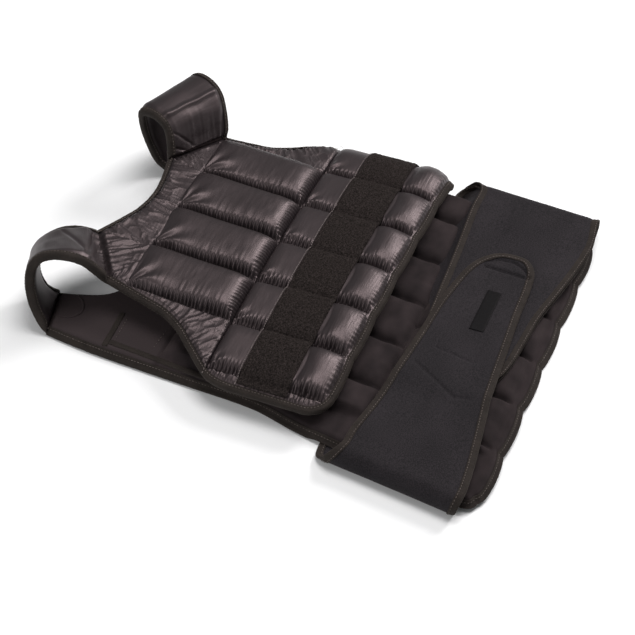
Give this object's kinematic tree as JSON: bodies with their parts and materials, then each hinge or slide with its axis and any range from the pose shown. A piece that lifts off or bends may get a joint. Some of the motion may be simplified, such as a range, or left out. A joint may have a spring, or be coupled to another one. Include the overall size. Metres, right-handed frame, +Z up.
{
  "type": "weighted vest",
  "caption": "Quilted weighted vest lying on its back, front folded over the back panel, shoulder straps standing as loops, two waist belts folded across.",
  "frame": {"origin": "centre of the bounding box on the surface that the vest lies on", "axes": "+Z up out of the surface, +Y towards the collar and shoulder straps, +X to the wearer's left"},
  "size_m": [0.4324, 0.5186, 0.1012],
  "materials": {
    "satin": "black nylon satin, quilted and gathered, soft sheen",
    "lining": "matt black-brown brushed lining",
    "tape": "woven brown-grey edge binding tape",
    "neoprene": "jersey-faced neoprene belt, matt charcoal",
    "loop_pile": "black loop pile of a hook-and-loop strip",
    "patch": "smooth black blank patch, heat bonded"
  },
  "bodies": {
    "root": {"front_panel": "satin", "front_edge_binding": "tape", "front_neck_binding": "tape", "loop_strip": "loop_pile", "back_panel": "lining", "back_edge_binding": "tape", "back_neck_binding": "tape", "right_shoulder_strap": "satin", "right_strap_neck_binding": "tape", "right_strap_arm_binding": "tape", "right_belt": "neoprene", "left_shoulder_strap": "satin", "left_strap_neck_binding": "tape", "left_strap_arm_binding": "tape", "left_belt": "neoprene", "label_patch": "patch"}
  },
  "joints": []
}
